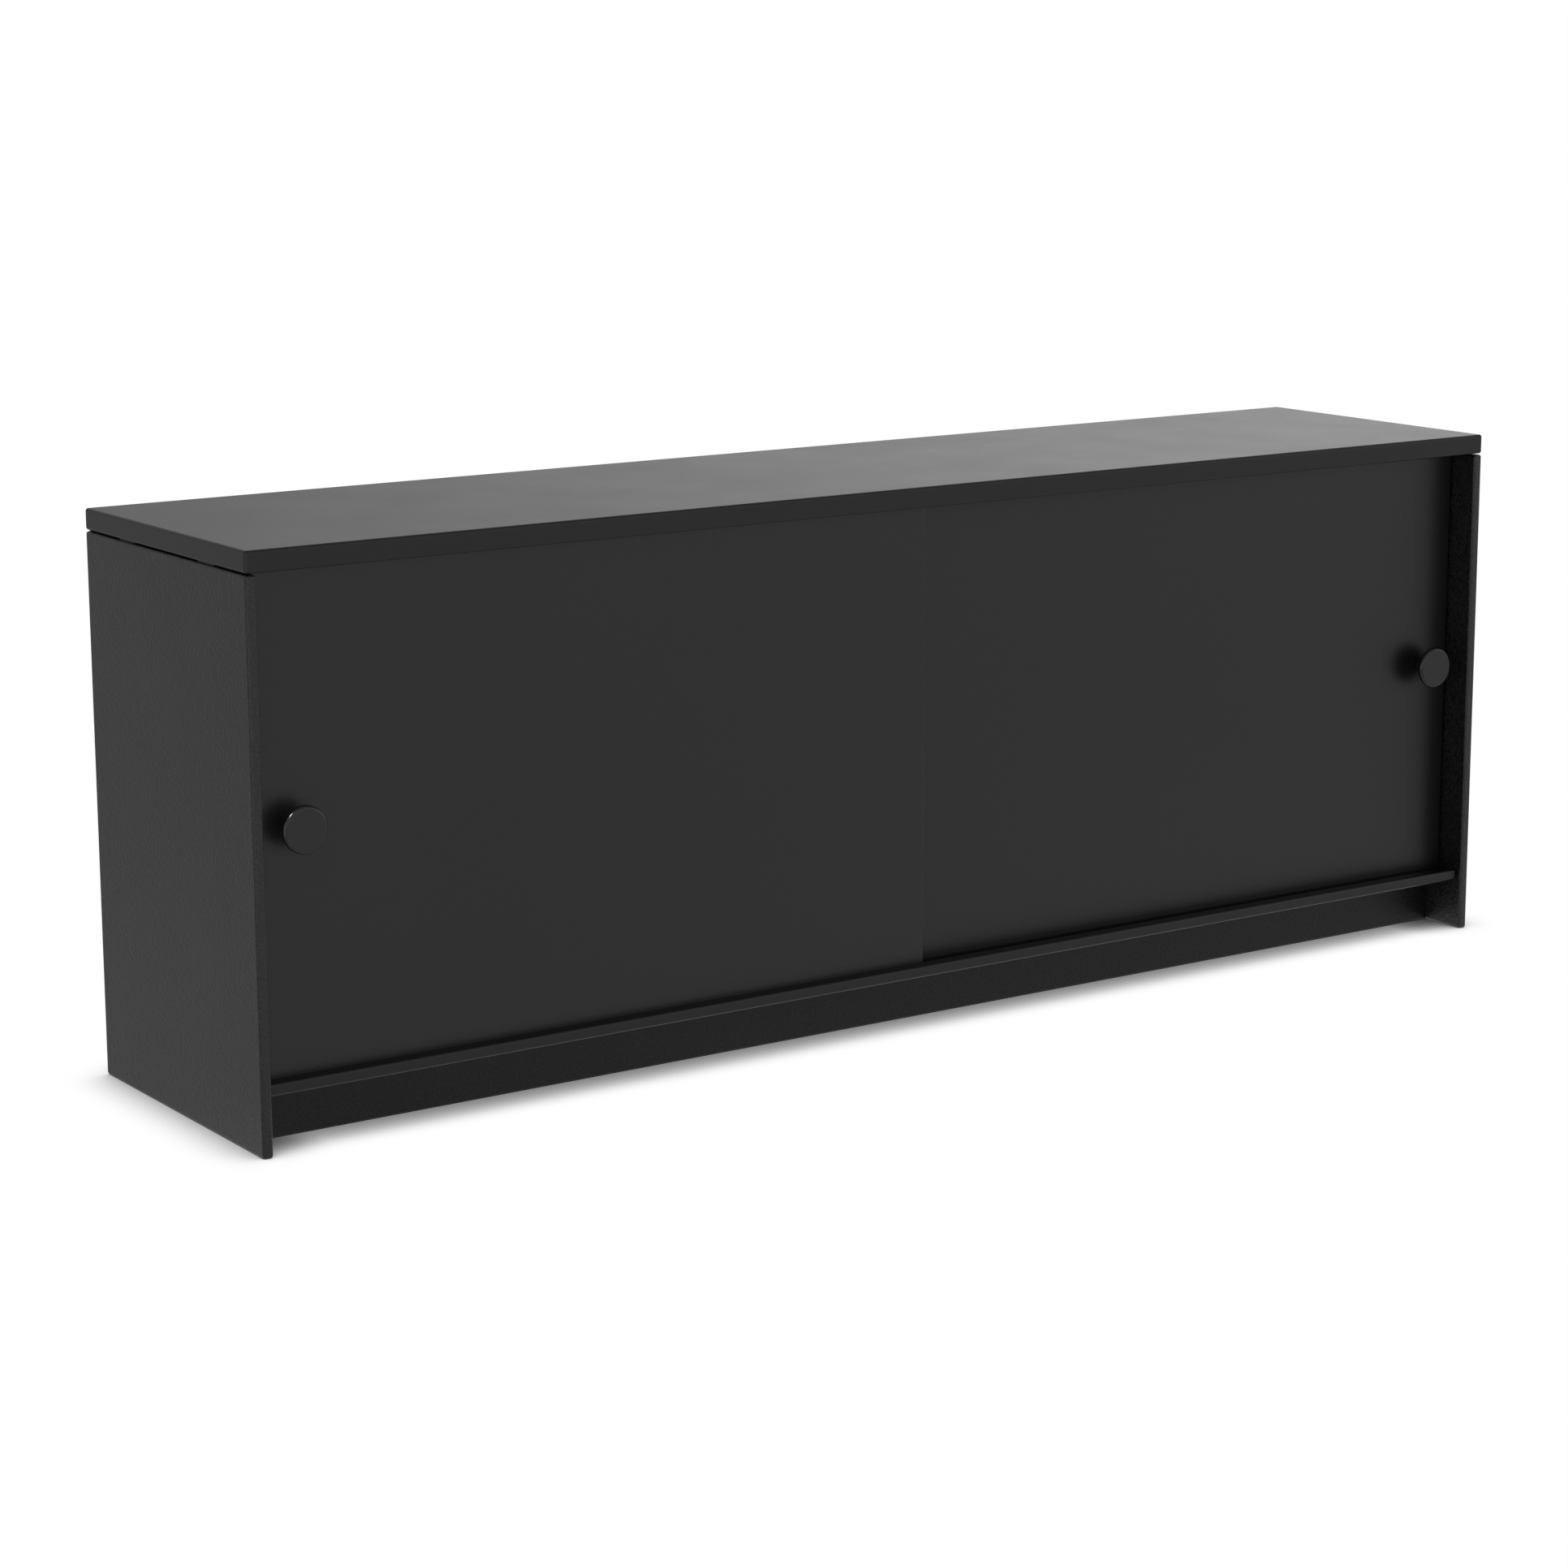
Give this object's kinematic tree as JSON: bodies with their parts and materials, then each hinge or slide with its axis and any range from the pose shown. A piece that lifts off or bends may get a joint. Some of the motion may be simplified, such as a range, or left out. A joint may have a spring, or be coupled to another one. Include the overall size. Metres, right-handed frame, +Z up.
{
  "type": "sideboard",
  "caption": "Low wide sideboard in black plastic sheet with overlapping sliding doors on grooves, round disc knobs, a recessed toe kick and adjustable shelves inside.",
  "frame": {"origin": "on the floor under the middle of the cabinet's width and depth", "axes": "+X to the right as seen from the front, along the cabinet's width; the front faces -Y; +Z up"},
  "size_m": [1.8288, 0.4184, 0.6795],
  "materials": {
    "black_sheet": "satin black plastic sheet with a fine pebble texture",
    "zinc_steel": "zinc plated",
    "nylon": "black nylon"
  },
  "bodies": {
    "carcass": {"top_panel": "black_sheet", "left_side_panel": "black_sheet", "right_side_panel": "black_sheet", "bottom_deck": "black_sheet", "kick_board": "black_sheet", "rear_rail": "black_sheet", "centre_foot": "black_sheet", "centre_divider": "black_sheet", "back_panel_left": "black_sheet", "back_panel_right": "black_sheet", "shelf_left": "black_sheet", "shelf_right": "black_sheet", "shelf_pin_left_front_outer": "zinc_steel", "shelf_pin_left_front_inner": "zinc_steel", "shelf_pin_left_rear_outer": "zinc_steel", "shelf_pin_left_rear_inner": "zinc_steel", "shelf_pin_right_front_outer": "zinc_steel", "shelf_pin_right_front_inner": "zinc_steel", "shelf_pin_right_rear_outer": "zinc_steel", "shelf_pin_right_rear_inner": "zinc_steel", "top_pad_left_front": "nylon", "top_pad_left_rear": "nylon", "top_pad_right_front": "nylon", "top_pad_right_rear": "nylon", "bracket_top_left_front": "zinc_steel", "bracket_top_left_rear": "zinc_steel", "bracket_top_right_front": "zinc_steel", "bracket_top_right_rear": "zinc_steel", "bracket_deck_left_front": "zinc_steel", "bracket_deck_left_rear": "zinc_steel", "bracket_deck_right_front": "zinc_steel", "bracket_deck_right_rear": "zinc_steel", "screw_up_top_left_front": "zinc_steel", "screw_up_top_left_rear": "zinc_steel", "screw_up_top_right_front": "zinc_steel", "screw_up_top_right_rear": "zinc_steel", "screw_up_deck_left_front": "zinc_steel", "screw_up_deck_left_rear": "zinc_steel", "screw_up_deck_right_front": "zinc_steel", "screw_up_deck_right_rear": "zinc_steel", "screw_out_top_left_front": "zinc_steel", "screw_out_top_left_rear": "zinc_steel", "screw_out_top_right_front": "zinc_steel", "screw_out_top_right_rear": "zinc_steel", "screw_out_deck_left_front": "zinc_steel", "screw_out_deck_left_rear": "zinc_steel", "screw_out_deck_right_front": "zinc_steel", "screw_out_deck_right_rear": "zinc_steel"},
    "door_left": {"door_left_panel": "black_sheet", "door_left_knob_stem": "black_sheet", "door_left_knob_disc": "black_sheet", "door_left_knob_bolt": "zinc_steel"},
    "door_right": {"door_right_panel": "black_sheet", "door_right_knob_stem": "black_sheet", "door_right_knob_disc": "black_sheet", "door_right_knob_bolt": "zinc_steel"}
  },
  "joints": [
    {"name": "door_left_slide", "type": "slide", "parent": "carcass", "child": "door_left", "axis": [1, 0, 0], "range_m": [0, 0.415]},
    {"name": "door_right_slide", "type": "slide", "parent": "carcass", "child": "door_right", "axis": [-1, 0, 0], "range_m": [0, 0.415]}
  ]
}
